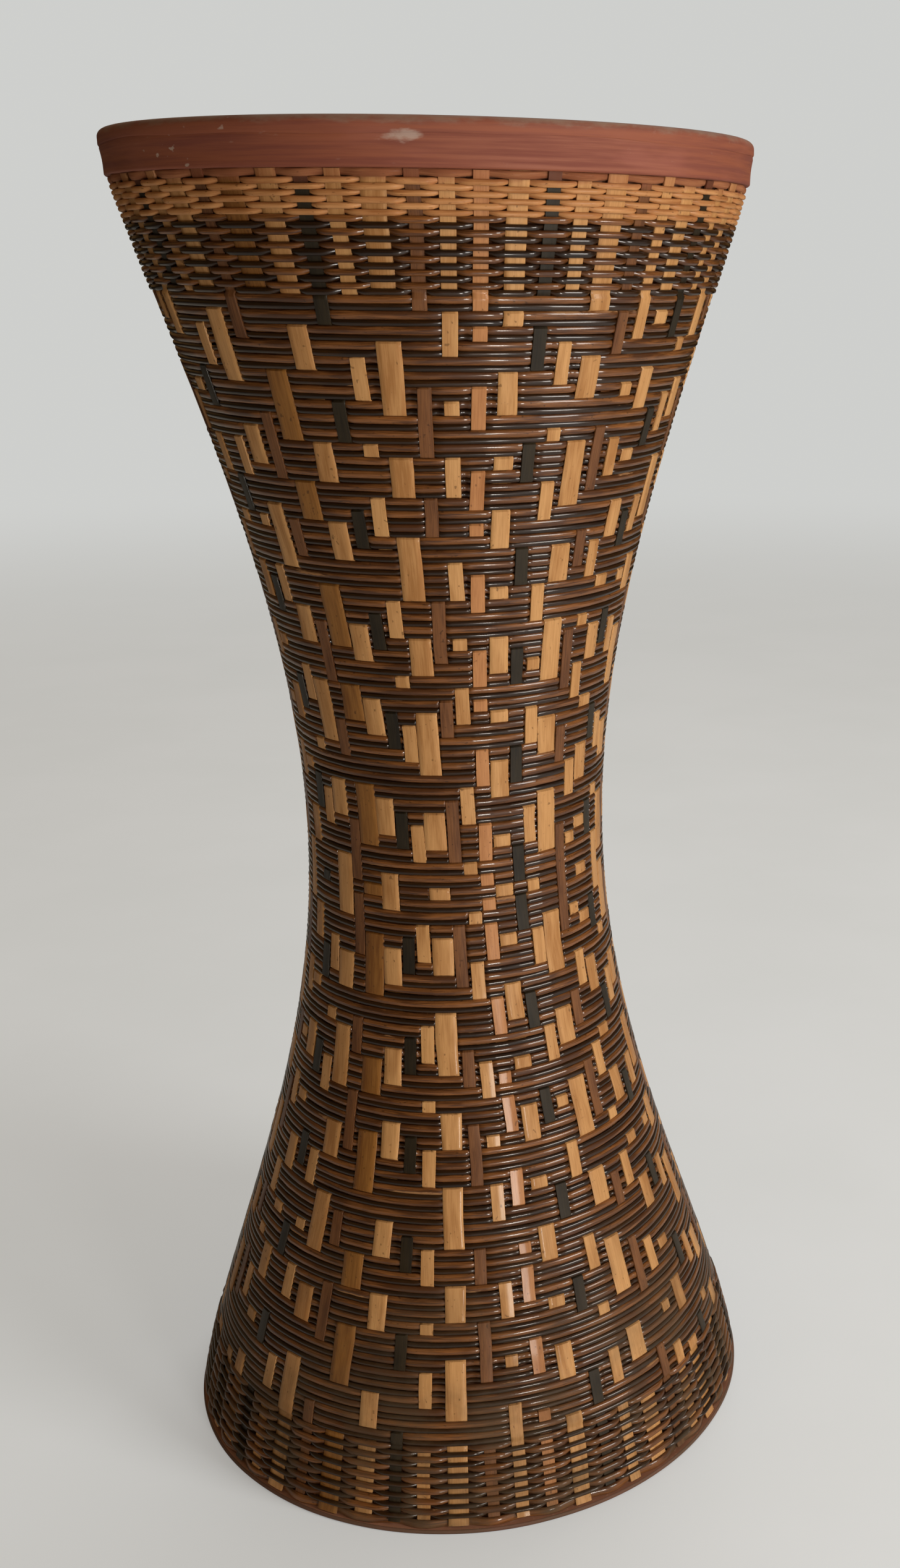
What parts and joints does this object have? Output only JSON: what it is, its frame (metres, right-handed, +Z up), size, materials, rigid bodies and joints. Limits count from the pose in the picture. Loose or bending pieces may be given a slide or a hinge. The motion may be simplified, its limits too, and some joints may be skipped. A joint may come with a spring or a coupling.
{
  "type": "djembe",
  "caption": "Tall waisted hand drum: clay shell with a painted collar and a glued hide head, covered from collar to foot in a woven cane jacket of two-tone weavers and pale stakes.",
  "frame": {"origin": "centre of the foot ring's lower face, on the surface that the drum stands on", "axes": "+Z up along the drum's axis towards the head; -Y is the front, and +X is to the right of someone facing the front"},
  "size_m": [0.2804, 0.2804, 0.61],
  "materials": {
    "painted_clay": "matt red earth paint over fired clay",
    "hide": "scraped rawhide, satin",
    "hide_glue": "dried hide glue",
    "stake_cane": "flat split cane, varnished, in natural, tan, red-brown and green-black",
    "natural_cane": "natural half-round cane, satin",
    "dark_cane": "half-round cane stained in two browns, varnished",
    "border_cane": "flat border cane, smeared with the red paint"
  },
  "bodies": {
    "root": {"clay_shell": "painted_clay", "drumhead": "hide", "hide_glue_bed": "hide_glue", "stake_group_1": "stake_cane", "stake_group_2": "stake_cane", "stake_group_3": "stake_cane", "stake_group_4": "stake_cane", "stake_group_5": "stake_cane", "stake_group_6": "stake_cane", "stake_group_7": "stake_cane", "stake_group_8": "stake_cane", "stake_group_9": "stake_cane", "stake_group_10": "stake_cane", "border_top": "border_cane", "weave_natural": "natural_cane", "weave_upper_plain": "dark_cane", "weave_upper_twill": "dark_cane", "weave_waist_twill": "dark_cane", "weave_lower_twill": "dark_cane", "weave_foot_plain": "dark_cane", "border_foot": "border_cane"}
  },
  "joints": []
}
